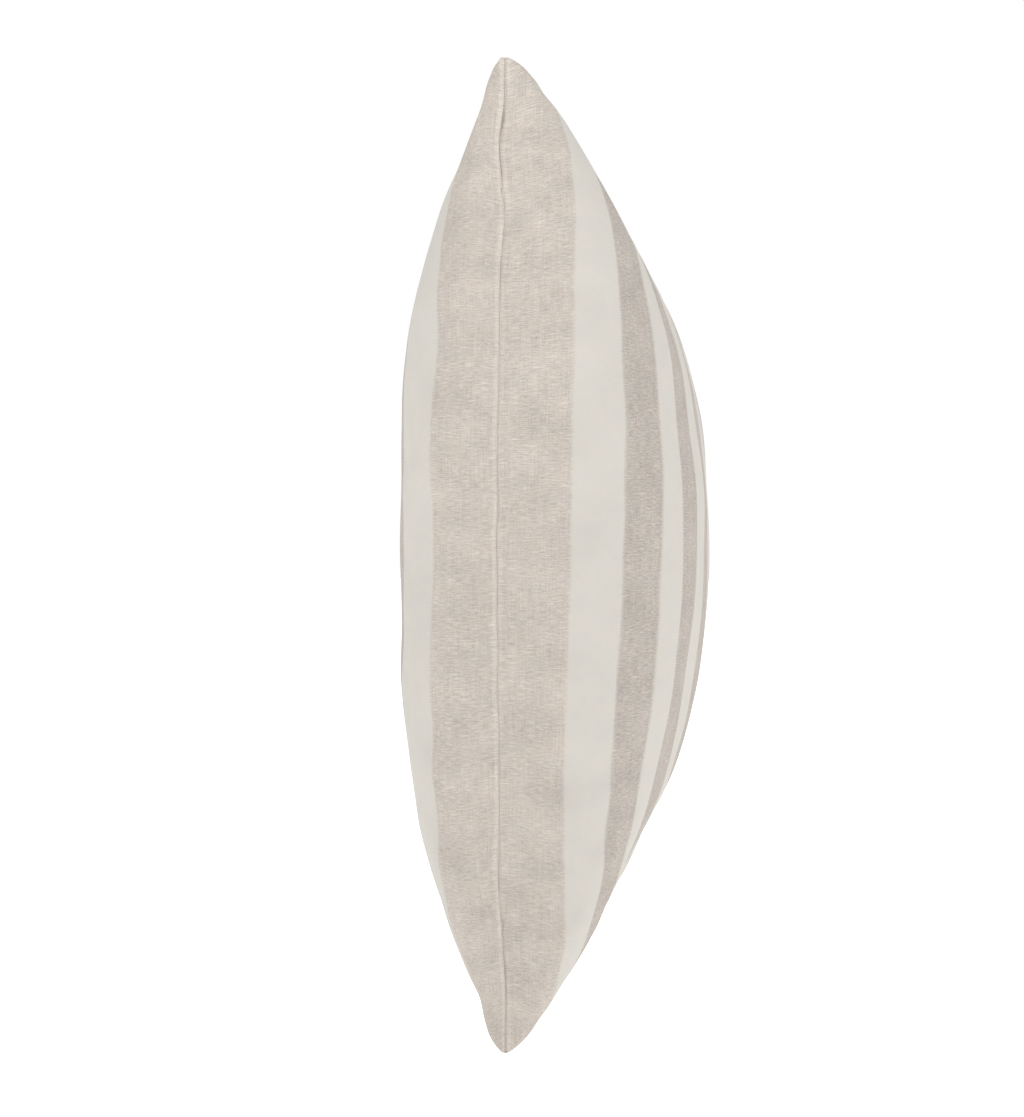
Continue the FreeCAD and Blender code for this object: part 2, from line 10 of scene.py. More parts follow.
import bpy
import numpy as np
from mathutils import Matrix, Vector


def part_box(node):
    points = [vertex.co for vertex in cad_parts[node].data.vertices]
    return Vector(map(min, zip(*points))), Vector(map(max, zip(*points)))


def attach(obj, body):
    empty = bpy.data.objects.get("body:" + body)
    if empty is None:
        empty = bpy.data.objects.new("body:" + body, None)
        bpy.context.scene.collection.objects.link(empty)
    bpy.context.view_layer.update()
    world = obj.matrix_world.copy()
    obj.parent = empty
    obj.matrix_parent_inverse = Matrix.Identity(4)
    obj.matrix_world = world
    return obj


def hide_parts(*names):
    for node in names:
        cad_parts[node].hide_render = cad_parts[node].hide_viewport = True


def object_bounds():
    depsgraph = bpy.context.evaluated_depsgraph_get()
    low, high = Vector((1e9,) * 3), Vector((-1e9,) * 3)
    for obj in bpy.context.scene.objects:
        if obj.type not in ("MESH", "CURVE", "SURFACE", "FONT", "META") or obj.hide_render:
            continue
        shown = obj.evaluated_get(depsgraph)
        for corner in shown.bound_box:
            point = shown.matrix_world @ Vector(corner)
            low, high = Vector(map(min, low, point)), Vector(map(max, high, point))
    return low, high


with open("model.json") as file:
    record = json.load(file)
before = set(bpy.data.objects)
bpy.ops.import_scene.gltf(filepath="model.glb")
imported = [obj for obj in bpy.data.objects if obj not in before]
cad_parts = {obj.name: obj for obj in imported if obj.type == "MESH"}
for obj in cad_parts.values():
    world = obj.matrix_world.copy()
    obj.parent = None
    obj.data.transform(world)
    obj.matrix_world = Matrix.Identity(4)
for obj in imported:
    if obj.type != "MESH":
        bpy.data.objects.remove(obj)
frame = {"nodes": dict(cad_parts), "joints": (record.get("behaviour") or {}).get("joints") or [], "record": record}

MM = 0.001
FRONT, BACK = -1, 1
cad_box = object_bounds()

# ---- measures from the frame -------------------------------------------------------------------

hinge = {joint["name"]: joint for joint in frame["joints"]}["slider_travel"]
SEAM_Y = hinge["pos_m"][1] / MM
CORNER = (cad_box[1].x - cad_box[0].x) / 2 / MM
MIDDLE_Z = (cad_box[1].z + cad_box[0].z) / 2 / MM
ARC_RADIUS = math.hypot(CORNER, hinge["pos_m"][2] / MM)
MIDDLE = MIDDLE_Z - (hinge["pos_m"][2] / MM + ARC_RADIUS)
DEPTH = {FRONT: SEAM_Y - cad_box[0].y / MM, BACK: cad_box[1].y / MM - SEAM_Y}
TAPE_HALF = (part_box("zipper_tape_front")[1].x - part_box("zipper_tape_front")[0].x) / 2 / MM

# ---- the cover's cut and fill ------------------------------------------------------------------

CLOTH = 0.8                       # thickness of the cover's cloth
FLAT_SIZE = 508.0                 # side of a panel between its seams, before it is filled
ALLOWANCE = 10.0
SLIT_HALF = 1.2                   # half the zipper opening's width
SEAM_GAP = 0.03                   # half the space between the two panels where they are sewn
EDGE_SHARE = 0.06                 # keeps the grid lines apart where the spread would close them
BOW = 8.0                         # how far the upright seams' middles lie towards the back
LEAN = 11.3                       # how far the ears on the +X side lie towards the back
FRONT_POWER = 0.50                # how steeply the front rises from the upright seams
BACK_FLATNESS, BACK_EDGE = 4.2, 2.42              # the back's profile across, a superellipse
UP_POWER = {FRONT: 1.183, BACK: 1.137}            # how steeply a panel rises from top and bottom
TILT = {FRONT: 0.055, BACK: 0.022}                # how much fuller the upper half is
BELLY = {FRONT: 0.036, BACK: 0.1165}              # extra fullness half-way to the top and bottom
SHIFT = {FRONT: 0.084, BACK: 0.0}                 # how far the fullness moves towards -X
EAR = {FRONT: 17.5, BACK: 12.0}                   # extra height at the four ears
EAR_REACH = {FRONT: 102.0, BACK: 26.4}
EAR_POWER = {FRONT: 0.443, BACK: 0.39}
TIP = {FRONT: (5.0, 7.5), BACK: (6.0, 4.5)}       # how blunt the ears are, at the bottom and the top
TIP_REACH = 16.0
NECK = {FRONT: (0.0, 0.0), BACK: (2.8, -2.8)}     # how much fuller they are behind the tips
NECK_PLACE, NECK_REACH = 56.0, 28.0
HALF_CELLS = 128                  # grid cells from the middle of a panel to its seam
EDGE_CELL = 0.25                  # how small the cells at the seam are, beside the mean


def spread(t):
    """Where a grid line lies across the panel, closer together towards the seam."""
    return (1 - EDGE_SHARE) * np.sin(t * np.pi / 2) + EDGE_SHARE * t


def grid_lines(half_cells):
    """Grid parameters from -1 to 1, finest at the seam."""
    t = np.linspace(-1, 1, 2 * half_cells + 1)
    s = 1 - np.abs(t)
    return np.sign(t) * (1 - s * (EDGE_CELL + (1 - EDGE_CELL) * np.sqrt(s)))


def drop(place, radius=ARC_RADIUS):
    """How far an edge comes outwards between its middle and a place along it."""
    return radius - np.sqrt(radius ** 2 - place ** 2)


def outline(inset):
    """Corner, middle and arc radius of the seam's outline, moved inwards all round."""
    radius = ARC_RADIUS + inset
    reach = MIDDLE + ARC_RADIUS
    corner = (reach - math.sqrt(2 * radius ** 2 - reach ** 2)) / 2
    return corner, MIDDLE - inset, radius


def crown(side, across, up, x, z):
    """Height of a panel over the seam plane: a crown that is fuller at the ears."""
    rise_across = np.clip(np.cos(across * np.pi / 2), 0, None)
    rise_up = np.clip(np.cos(up * np.pi / 2), 0, None)
    a, b = spread(across), spread(up)
    uneven = 1 + TILT[side] * b + 4 * BELLY[side] * b ** 2 * (1 - b ** 2)
    uneven *= 1 - SHIFT[side] * a * (1 - a ** 2)
    if side == FRONT:
        wall = rise_across ** FRONT_POWER
    else:
        wall = np.clip(1 - np.abs(a) ** BACK_FLATNESS, 0, None) ** (1 / BACK_EDGE)
    body = DEPTH[side] * wall * rise_up ** UP_POWER[side] * uneven
    tip = np.hypot(CORNER - np.abs(x), CORNER - np.abs(z))
    reach = np.exp(-(tip / EAR_REACH[side]) ** 2)
    both = rise_across * rise_up
    high = b > 0
    tips = np.where(high, TIP[side][1], TIP[side][0]) * both ** 0.3 * np.exp(-(tip / TIP_REACH) ** 2)
    necks = np.where(high, NECK[side][1], NECK[side][0]) * both ** 0.3 * bump(tip, NECK_PLACE, NECK_REACH)
    return body + EAR[side] * both ** EAR_POWER[side] * reach + tips + necks


def leaning(a, b, x):
    """How far the ears on the +X side lie back. The bottom edge stays straight at the zipper."""
    top = np.clip(a, 0, 1) ** 2
    bottom = smooth_step(x, TAPE_HALF - 5, CORNER)
    low = smooth_step(-b, 0.75, 1)
    return LEAN * b ** 2 * (top * (1 - low) + bottom * low)


def panel_points(side, lines, inset=0.0, below=0.0, bowed=True):
    """The panel's smooth form as an array of points, one for each pair of grid lines."""
    across, up = np.meshgrid(lines, lines, indexing="ij")
    corner, middle, radius = outline(inset)
    a, b = spread(across), spread(up)
    x = a * (middle + drop(b * corner, radius))
    z = b * (middle + drop(a * corner, radius))
    full_x = a * (MIDDLE + drop(b * CORNER))
    full_z = b * (MIDDLE + drop(a * CORNER))
    height = np.clip(crown(side, across, up, full_x, full_z) - below, 0, None)
    y = SEAM_Y + side * height
    if bowed:
        y += BOW * (1 - b ** 2) * np.abs(a) ** 4 + leaning(a, b, full_x)
    return np.stack([x, y, z], axis=-1)


def run_lengths(points, axis):
    """Length along the cloth from the low edge and from the high edge, following one axis."""
    steps = np.linalg.norm(np.diff(points, axis=axis), axis=-1)
    low = np.cumsum(steps, axis=axis)
    low = np.concatenate([np.zeros_like(np.take(low, [0], axis)), low], axis=axis)
    return low, np.take(low, [-1], axis) - low


def normals(points, side):
    """Outward unit normals of a panel."""
    cross = np.cross(np.gradient(points, axis=0), np.gradient(points, axis=1)) * -side
    away = points - np.array([0, SEAM_Y, 0])
    length = np.linalg.norm(cross, axis=-1, keepdims=True)
    return np.where(length > 1e-7, cross / np.maximum(length, 1e-12),
                    away / np.linalg.norm(away, axis=-1, keepdims=True))


def waves(u, v, seed, length, count=24):
    """Smooth seeded unevenness of about unit height, for bumps about a length apart."""
    chance = np.random.default_rng(seed)
    total = 0.0
    for _ in range(count):
        turn, phase = chance.uniform(0, 2 * np.pi, 2)
        k = 2 * np.pi / (length * chance.uniform(0.7, 1.5))
        total = total + np.cos(k * (u * np.cos(turn) + v * np.sin(turn)) + phase)
    return total * math.sqrt(2 / count)


def bump(value, centre, reach):
    """A smooth hump of height 1 at the centre."""
    return np.exp(-((value - centre) / reach) ** 2)


def smooth_step(value, start, end):
    """0 up to the start and 1 from the end, eased between them."""
    t = np.clip((value - start) / (end - start), 0, 1)
    return t * t * (3 - 2 * t)


# ---- folds, ridge and puckers ------------------------------------------------------------------

# side, distance from the -X seam, height from the middle, half-length across, half-height, rise
FOLDS = ((BACK, 3.2, 176, 2.6, 3.2, -1.6), (BACK, 4.5, 172, 4, 5, -0.8), (FRONT, 17, 181, 13, 5, -1.2),
         (FRONT, 24, 168, 12, 4, 0.8), (BACK, 11, 190, 10, 4, 0.8), (BACK, 10, -26, 9, 1.6, 0.6),
         (FRONT, 9, 18, 9, 3, -0.6), (BACK, 9, -176, 7, 3, -1.2), (BACK, 17, -184, 6, 4, -1.0),
         (FRONT, 12, -186, 10, 3, -1.0), (FRONT, 9, -174, 9, 4, 0.8), (FRONT, 8, 120, 8, 2, 0.5),
         (BACK, 8, 66, 8, 2, 0.5), (FRONT, 14, 205, 12, 3, 0.7), (FRONT, 12, 214, 10, 3, -0.6),
         (FRONT, 30, 226, 26, 11, 1.0), (BACK, 66, -219, 20, 8, 1.2))
HOLLOWS = ((BACK, 100, 12, 60, 40, -2.4), (FRONT, 200, 77, 70, 32, -1.8),
           (FRONT, 254, -165, 110, 24, -2.8), (FRONT, 420, -207, 80, 13, -2.6))
FOLD_SLANT = 0.15                 # how much a fold beside the seam drops per millimetre across


def folds(side, u, z):
    """Single dimples and puckers beside the -X seam, and broad hollows farther in."""
    total = 0.0 * u
    for group, slant in ((FOLDS, FOLD_SLANT), (HOLLOWS, 0.0)):
        for fold_side, across, height, reach_u, reach_z, rise in group:
            if fold_side == side:
                total += rise * bump(u, across, reach_u) * bump(z + slant * (u - across), height, reach_z)
    return total


# height from the middle, half-height, how far towards the back
SWAYS = ((CORNER - 42, 16, 1.5), (CORNER - 76, 15, -1.7), (80 - CORNER, 18, 1.3), (25 - CORNER, 20, -1.0))


def seam_sway(z):
    """How far an upright seam wanders towards the back, at heights from the middle."""
    sway = sum(far * bump(z, height, reach) for height, reach, far in SWAYS)
    return sway + 0.25 * waves(z, 0 * z, 5, 45.0)


def stripe_place(side, u, v):
    """Where the stripes lie across: the upright seams draw the cloth in, mostly low down."""
    half = FLAT_SIZE / 2
    up = v / FLAT_SIZE
    near = np.minimum(u, FLAT_SIZE - u)
    if side == FRONT:
        drawn = 0.19 * (1 - smooth_step(up, 0.2, 0.55)) * (1 - near / half) ** 1.3
    else:
        drawn = 0.2 * bump(up, 0.76, 0.1) + 0.5 * (1 - smooth_step(up, 0.04, 0.2))
        drawn *= np.exp(-(near / 50) ** 2)
    near = near * (1 + drawn)
    return np.where(u < half, near, FLAT_SIZE - near)


def edge_outward(points, edge):
    """Unit vectors in the seam plane that point out of the pillow across one edge."""
    x, z = points[..., 0], points[..., 2]
    reach = MIDDLE + ARC_RADIUS
    centre_x, centre_z = {"left": (-reach, 0), "right": (reach, 0),
                          "bottom": (0, -reach), "top": (0, reach)}[edge]
    away = np.stack([centre_x - x, 0 * x, centre_z - z], axis=-1)
    return away / np.linalg.norm(away, axis=-1, keepdims=True)


def slit_gap(x):
    """Half the space between the two panels along the bottom edge."""
    open_part = 1 - smooth_step(np.abs(x), TAPE_HALF + 1, TAPE_HALF + 7)
    return SEAM_GAP + (SLIT_HALF - SEAM_GAP) * open_part


# heights, depths and wave lengths in millimetres; the second of a pair is what the ears add to the first
GROOVE, GROOVE_WIDTH = (0.12, 0.4), (0.5, 0.3)    # the seam line's groove
DRAWN_IN, DRAWN_WAVE, DRAWN_REACH = 0.4, 55.0, 20.0       # how the thread pulls the edge in, unevenly
RIDGE, RIDGE_PLACE, RIDGE_WIDTH = 0.42, 1.9, 1.2          # the allowance's fold under the back's cloth
GATHER, GATHER_WAVE, GATHER_PLACE = (0.16, 0.3), 13.0, 5.0
SWELL, SWELL_WAVE, SWELL_PLACE = (0.4, 0.4), 38.0, 22.0
LUMP, LUMP_WAVE = 0.5, 85.0
OVER_TAPE, TAPE_EDGE, TAPE_EDGE_WIDTH = 0.55, 13.0, 6.0   # how the tape's stitched edge lifts the cloth
ZIPPER_REACH = 18.0               # how far in the panels are held apart beside the zipper
TIP_CALM, EAR_CALM, EAR_NEAR = 22.0, 60.0, 90.0           # distances from a corner


def rise_and_fall(away, place):
    """0 at the seam, 1 at a place beside it, and 0 again farther in."""
    return (away / place) * np.exp(1 - away / place)


def sew(points, side, seed):
    """Pull a panel's edges into the seam, and pucker the cloth beside it.

    Gives the moved points, the cloth's places across and up, and the share of the creases that each takes.
    """
    up_low, up_high = run_lengths(points, 1)
    along_low, along_high = run_lengths(points, 0)
    to_edge = {"left": along_low, "right": along_high, "bottom": up_low, "top": up_high}
    facing = normals(points, side)
    u = FLAT_SIZE * along_low / (along_low + along_high)
    v = FLAT_SIZE * up_low / (up_low + up_high)
    from_corner = np.hypot(np.minimum(u, FLAT_SIZE - u), np.minimum(v, FLAT_SIZE - v))
    at_ear = np.exp(-(from_corner / EAR_NEAR) ** 2)
    calm_tip = 1 - np.exp(-(from_corner / TIP_CALM) ** 2)
    calm_ear = 1 - np.exp(-(from_corner / EAR_CALM) ** 2)
    beyond_zipper = smooth_step(np.abs(points[..., 0]), TAPE_HALF + 5, TAPE_HALF + 30)
    moved = points.copy()
    for number, (edge, away) in enumerate(to_edge.items()):
        upright = edge in ("left", "right")
        place, along = (v, points[..., 2]) if upright else (u, points[..., 0])
        groove_width = GROOVE_WIDTH[0] + GROOVE_WIDTH[1] * at_ear
        groove = (GROOVE[0] + GROOVE[1] * at_ear) * np.exp(-away / groove_width)
        drawn_in = DRAWN_IN * (1 + np.tanh(waves(along, 0 * along, 90 + number, DRAWN_WAVE)))
        drawn_in *= calm_tip * np.exp(-away / DRAWN_REACH) * (beyond_zipper if edge == "bottom" else 1.0)
        moved -= (groove + drawn_in)[..., None] * edge_outward(points, edge)
        gather = waves(place, away * 0.3, seed + number, GATHER_WAVE) * (GATHER[0] + GATHER[1] * at_ear)
        gather *= rise_and_fall(away, GATHER_PLACE) * np.exp(-away / 30)
        swell = waves(place, away * 0.6, seed + 10 + number, SWELL_WAVE) * (SWELL[0] + SWELL[1] * at_ear)
        swell *= rise_and_fall(away, SWELL_PLACE)
        rise = gather * calm_tip + swell * calm_ear
        if upright and side == BACK:
            ridge = RIDGE * (0.35 + 0.65 * smooth_step(place, 180, 260))      # lower below the middle
            rise += ridge * bump(away, RIDGE_PLACE, RIDGE_WIDTH)
        moved += rise[..., None] * facing
        if upright:
            moved[..., 1] += seam_sway(points[..., 2]) * np.exp(-away / 18)
    nearest = np.minimum.reduce(list(to_edge.values()))
    lumps = LUMP * waves(u, v, seed + 30, LUMP_WAVE) * (1 - np.exp(-nearest / 60))
    over_tape = OVER_TAPE * bump(to_edge["bottom"], TAPE_EDGE, TAPE_EDGE_WIDTH) * (1 - beyond_zipper)
    moved += (lumps + over_tape + folds(side, u, points[..., 2]))[..., None] * facing
    beside_zipper = np.exp(-(to_edge["bottom"] / ZIPPER_REACH) ** 2)
    gap = SEAM_GAP + (slit_gap(points[..., 0]) - SEAM_GAP) * beside_zipper
    moved[..., 1] += side * gap
    return moved, stripe_place(side, u, v), v, calm_ear * (1 - beside_zipper)


# ---- creases from a cloth simulation -----------------------------------------------------------

SIM_HALF_CELLS = 30               # grid cells of the trial cloth, from the middle to the seam
SIM_FRAMES = 36
BROAD_ROUNDS = 14                 # rounds of smoothing that leave only the broad bulge
CREASE_CAP = 1.4                  # the most that a crease moves the cloth


def joined_grid(points):
    """One closed mesh from a front and a back grid that share their outer points."""
    count = points[FRONT].shape[0]
    index = {}
    rows = []
    for side in (FRONT, BACK):
        ids = np.zeros((count, count), int)
        for i in range(count):
            for j in range(count):
                rim = i in (0, count - 1) or j in (0, count - 1)
                key = (i, j) if rim else (i, j, side)
                if key not in index:
                    index[key] = len(rows)
                    rows.append(points[side][i, j])
                ids[i, j] = index[key]
        index[side] = ids
    faces = []
    for side in (FRONT, BACK):
        faces += grid_faces(index[side], side)
    return np.array(rows), faces, index


def grid_faces(ids, side):
    """Quads of a grid of point numbers, facing out of the pillow."""
    quads = np.stack([ids[:-1, :-1], ids[1:, :-1], ids[1:, 1:], ids[:-1, 1:]], axis=-1).reshape(-1, 4)
    return (quads if side == FRONT else quads[:, ::-1]).tolist()


def new_piece(name, points, faces):
    """A mesh object from points in millimetres, with z from the pillow's middle."""
    mesh = bpy.data.meshes.new(name)
    mesh.from_pydata(((points + [0, 0, MIDDLE_Z]) * MM).tolist(), [], faces)
    mesh.update()
    piece = bpy.data.objects.new(name, mesh)
    bpy.context.scene.collection.objects.link(piece)
    return piece


def creased(points):
    """How far the cloth of both panels moves when it is 2.5% slack and pressed out by the fill."""
    rows, faces, index = joined_grid(points)
    body = new_piece("cloth_trial", rows, faces)
    ids = index[FRONT]
    rim = sorted(set(np.concatenate([ids[0], ids[-1], ids[:, 0], ids[:, -1]]).tolist()))
    held = body.vertex_groups.new(name="held")
    held.add(rim, 1.0, "REPLACE")
    cloth = body.modifiers.new("cloth", "CLOTH")
    settings = cloth.settings
    settings.quality = 6
    settings.mass = 0.15
    settings.tension_stiffness = 25
    settings.compression_stiffness = 20
    settings.shear_stiffness = 8
    settings.bending_stiffness = 0.4
    settings.vertex_group_mass = "held"
    settings.shrink_min = -0.025
    settings.use_pressure = True
    settings.uniform_pressure_force = 3.0
    settings.effector_weights.gravity = 0
    cloth.collision_settings.use_collision = False
    scene = bpy.context.scene
    for step in range(1, SIM_FRAMES + 1):
        scene.frame_set(step)
    graph = bpy.context.evaluated_depsgraph_get()
    result = body.evaluated_get(graph).to_mesh()
    flat = np.zeros(len(result.vertices) * 3)
    result.vertices.foreach_get("co", flat)
    after = flat.reshape(-1, 3) / MM - [0, 0, MIDDLE_Z]
    scene.frame_set(1)
    bpy.data.objects.remove(body)
    return {side: (after - rows)[index[side]] for side in (FRONT, BACK)}


def smoothed(field, rounds):
    """A field on a grid with its short waves taken out. The rim stays where it is."""
    field = field.copy()
    for _ in range(rounds):
        inner = field[1:-1, 1:-1]
        around = field[:-2, 1:-1] + field[2:, 1:-1] + field[1:-1, :-2] + field[1:-1, 2:]
        field[1:-1, 1:-1] = 0.5 * inner + 0.125 * around
    return field


def finer(field, count):
    """A grid field on more grid lines, by cubic interpolation along both axes."""
    place = np.linspace(0, field.shape[0] - 1, count)
    first = np.clip(place.astype(int), 0, field.shape[0] - 2)
    t = place - first
    weights = np.zeros((count, field.shape[0]))
    for shift, share in ((-1, -0.5 * t + t ** 2 - 0.5 * t ** 3), (0, 1 - 2.5 * t ** 2 + 1.5 * t ** 3),
                         (1, 0.5 * t + 2 * t ** 2 - 1.5 * t ** 3), (2, -0.5 * t ** 2 + 0.5 * t ** 3)):
        column = np.clip(first + shift, 0, field.shape[0] - 1)
        np.add.at(weights, (np.arange(count), column), share)
    return np.einsum("ia,jb,abk->ijk", weights, weights, field)


def creases():
    """The short waves of the simulated cloth, for both panels' fine grids."""
    lines = grid_lines(SIM_HALF_CELLS)
    moved = creased({side: panel_points(side, lines) for side in (FRONT, BACK)})
    result = {}
    for side, field in moved.items():
        short = smoothed(field - smoothed(field, BROAD_ROUNDS), 1)
        size = np.linalg.norm(short, axis=-1, keepdims=True)
        capped = short * np.tanh(size / CREASE_CAP) * CREASE_CAP / np.maximum(size, 1e-6)
        result[side] = finer(capped, 2 * HALF_CELLS + 1)
    return result


# ---- cloth panels ------------------------------------------------------------------------------

def rim_ids(count):
    """Grid places of the rim in order, anticlockwise seen from the front."""
    last = count - 1
    return ([(i, 0) for i in range(last)] + [(last, j) for j in range(last)]
            + [(last - i, last) for i in range(last)] + [(0, last - j) for j in range(last)])


def turned_in(rim, inset, start):
    """Rim points moved inwards along the seam plane, with mitred corners."""
    corner, middle, radius = outline(start + inset)
    full, _, _ = outline(start)
    moved = rim.copy()
    flat_edge = np.abs(rim[:, 2]) >= np.abs(rim[:, 0])
    a = np.clip(rim[:, 0] / full, -1, 1) * corner
    b = np.clip(rim[:, 2] / full, -1, 1) * corner
    moved[:, 0] = np.where(flat_edge, a, np.sign(rim[:, 0]) * (middle + drop(b, radius)))
    moved[:, 2] = np.where(flat_edge, np.sign(rim[:, 2]) * (middle + drop(a, radius)), b)
    return moved


def cloth_panel(name, side, points, u, v, thickness, insets, seam_points, start_inset=0.0):
    """A panel of real thickness with its allowance turned in, and flat places for its weave."""
    count = points.shape[0]
    ids = np.arange(count * count).reshape(count, count)
    faces = grid_faces(ids, side)
    rim = rim_ids(count)
    ring = [ids[i, j] for i, j in rim]
    verts = [points.reshape(-1, 3)]
    flat = [np.stack([u, v, np.zeros_like(u)], axis=-1).reshape(-1, 3)]
    rim_flat = flat[0][ring]
    base = np.array([seam_points[i, j] for i, j in rim])
    edge_y = points.reshape(-1, 3)[ring][:, 1]
    for inset in insets:
        moved = turned_in(base, inset, start_inset)
        moved[:, 1] = edge_y
        start = sum(len(part) for part in verts)
        verts.append(moved)
        flat.append(rim_flat + [inset, inset, 0])
        new = list(range(start, start + len(ring)))
        for k in range(len(ring)):
            n = (k + 1) % len(ring)
            quad = [ring[k], new[k], new[n], ring[n]]
            faces.append(quad if side == FRONT else quad[::-1])
        ring = new
    piece = new_piece(name, np.concatenate(verts), faces)
    store_flat(piece, np.concatenate(flat) + [0, 0, side])
    solid = piece.modifiers.new("cloth", "SOLIDIFY")
    solid.thickness = thickness * MM
    solid.offset = -1
    solid.use_quality_normals = True
    return finished(piece)


def store_flat(piece, places):
    """Keep each point's place on the flat cloth, in millimetres, for the materials."""
    layer = piece.data.attributes.new("flat", "FLOAT_VECTOR", "POINT")
    layer.data.foreach_set("vector", np.asarray(places, float).ravel())


def finished(piece):
    """Apply a piece's modifiers and shade it smooth."""
    graph = bpy.context.evaluated_depsgraph_get()
    mesh = bpy.data.meshes.new_from_object(piece.evaluated_get(graph))
    piece.modifiers.clear()
    piece.data = mesh
    for face in mesh.polygons:
        face.use_smooth = True
    return piece


ALLOWANCE_RINGS = (1.2, 2.5, 5, ALLOWANCE)


def cover():
    """The two cover panels."""
    lines = grid_lines(HALF_CELLS)
    moves = creases()
    pieces = {}
    for side, name in ((FRONT, "cover_front_cloth"), (BACK, "cover_back_cloth")):
        points = panel_points(side, lines)
        sewn, u, v, creased_share = sew(points, side, 40 + side)
        if side in moves:
            sewn += creased_share[..., None] * moves[side]
        pieces[side] = cloth_panel(name, side, sewn, u, v, CLOTH, ALLOWANCE_RINGS, points)
    return pieces


INSERT_INSET = 20.0               # cover seam to insert seam
INSERT_BELOW = CLOTH + 2.2        # the cover's surface to the insert's
TICKING = 0.5
TICKING_RINGS = (1.0, 3.0, 6.0)   # the last is the allowance
FILL_INSET = INSERT_INSET + TICKING + TICKING_RINGS[-1] + 0.5
FILL_BELOW = INSERT_BELOW + TICKING + 0.6
TUFT, TUFT_WAVE = 0.6, 42.0       # the filling's lumps
INSERT_HALF_CELLS = 56


def insert():
    """The insert's two ticking panels and its filling, each a little smaller than the cover."""
    lines = grid_lines(INSERT_HALF_CELLS)
    pieces = []
    for side, name in ((FRONT, "insert_front_cloth"), (BACK, "insert_back_cloth")):
        points = panel_points(side, lines, INSERT_INSET, INSERT_BELOW, bowed=False)
        sewn, u, v = sew_insert(points, side)
        pieces.append(cloth_panel(name, side, sewn, u, v, TICKING, TICKING_RINGS, points, INSERT_INSET))
    halves = {}
    for side in (FRONT, BACK):
        form = panel_points(side, lines, FILL_INSET, FILL_BELOW, bowed=False)
        tuft = waves(form[..., 0], form[..., 2], 70 + side, TUFT_WAVE) - 1.5
        room = 1 - np.exp(-np.abs(form[..., 1] - SEAM_Y) / 20)
        halves[side] = form + (TUFT * tuft * room)[..., None] * normals(form, side)
    rows, faces, _ = joined_grid(halves)
    filling = new_piece("insert_filling", rows, faces)
    pieces.append(finished(filling))
    return pieces


def sew_insert(points, side):
    """Small gathers along the insert's seam."""
    low, high = run_lengths(points, 0)
    down, above = run_lengths(points, 1)
    u, v = FLAT_SIZE * low / (low + high), FLAT_SIZE * down / (down + above)
    nearest = np.minimum.reduce([low, high, down, above])
    gather = 0.3 * waves(u, v, 60 + side, 12.0) * rise_and_fall(nearest, 6)
    moved = points - ((0.35 + np.abs(gather)) * (nearest > 0))[..., None] * normals(points, side)
    moved[..., 1] += side * SEAM_GAP
    return moved, u, v


# ---- stitches and label ------------------------------------------------------------------------

THREAD_RADIUS = 0.15
LOOP_POINTS = 14                  # points round a loop of thread
TUBE_SIDES = 6
BESIDE_OPENING = TAPE_HALF + 8    # where the sewn part of the bottom edge starts
HALF_LIFT = SEAM_GAP + CLOTH + THREAD_RADIUS      # from the seam plane to the thread on the allowance
RIBBON = 0.3


def edge_places(inset, pitch, margin):
    """Evenly spaced places round the seam, each with its direction along and out of the edge."""
    corner, middle, radius = outline(inset)
    half_turn = math.asin(corner / radius)
    reach = radius * half_turn - margin
    count = int(2 * reach / pitch)
    places = []
    for edge in ("bottom", "right", "top", "left"):
        for k in range(count + 1):
            turn = (k * 2 * reach / count - reach) / radius
            along, out = radius * math.sin(turn), middle + radius - radius * math.cos(turn)
            quarter = {"bottom": 0, "right": 1, "top": 2, "left": 3}[edge]
            spot = np.array([along, -out])
            run = np.array([math.cos(turn), -math.sin(turn)])
            for _ in range(quarter):
                spot = np.array([-spot[1], spot[0]])
                run = np.array([-run[1], run[0]])
            places.append((edge, spot, run))
    return places


def seam_line_y(x, z):
    """The seam's place across the pillow at a point of its outline."""
    a, b = np.clip(x / CORNER, -1, 1), np.clip(z / CORNER, -1, 1)
    if abs(z) > abs(x):
        b = math.copysign(1, z)
        return SEAM_Y + leaning(a, b, x)
    a = math.copysign(1, x)
    return SEAM_Y + BOW * (1 - b ** 2) + leaning(a, b, x) + seam_sway(z)


def thread_loops(name, centres, runs, lifts, half_run, half_lift):
    """Closed loops of thread, each lying in the plane of its run and its lift."""
    ring = np.linspace(0, 2 * np.pi, LOOP_POINTS, endpoint=False)
    flat_run = np.sign(np.cos(ring)) * np.abs(np.cos(ring)) ** 0.5 * half_run
    flat_lift = np.sign(np.sin(ring)) * np.abs(np.sin(ring)) ** 0.5 * half_lift
    around = np.linspace(0, 2 * np.pi, TUBE_SIDES, endpoint=False)
    verts, faces = [], []
    for centre, run, lift in zip(centres, runs, lifts):
        side = np.cross(run, lift)
        path = centre + flat_run[:, None] * run + flat_lift[:, None] * lift
        outward = (path - centre) / np.linalg.norm(path - centre, axis=1)[:, None]
        start = len(verts)
        for k in range(LOOP_POINTS):
            for turn in around:
                verts.append(path[k] + THREAD_RADIUS * (math.cos(turn) * outward[k] + math.sin(turn) * side))
        for k in range(LOOP_POINTS):
            n = (k + 1) % LOOP_POINTS
            for m in range(TUBE_SIDES):
                o = (m + 1) % TUBE_SIDES
                faces.append([start + k * TUBE_SIDES + m, start + n * TUBE_SIDES + m,
                              start + n * TUBE_SIDES + o, start + k * TUBE_SIDES + o])
    return finished(new_piece(name, np.array(verts), faces))


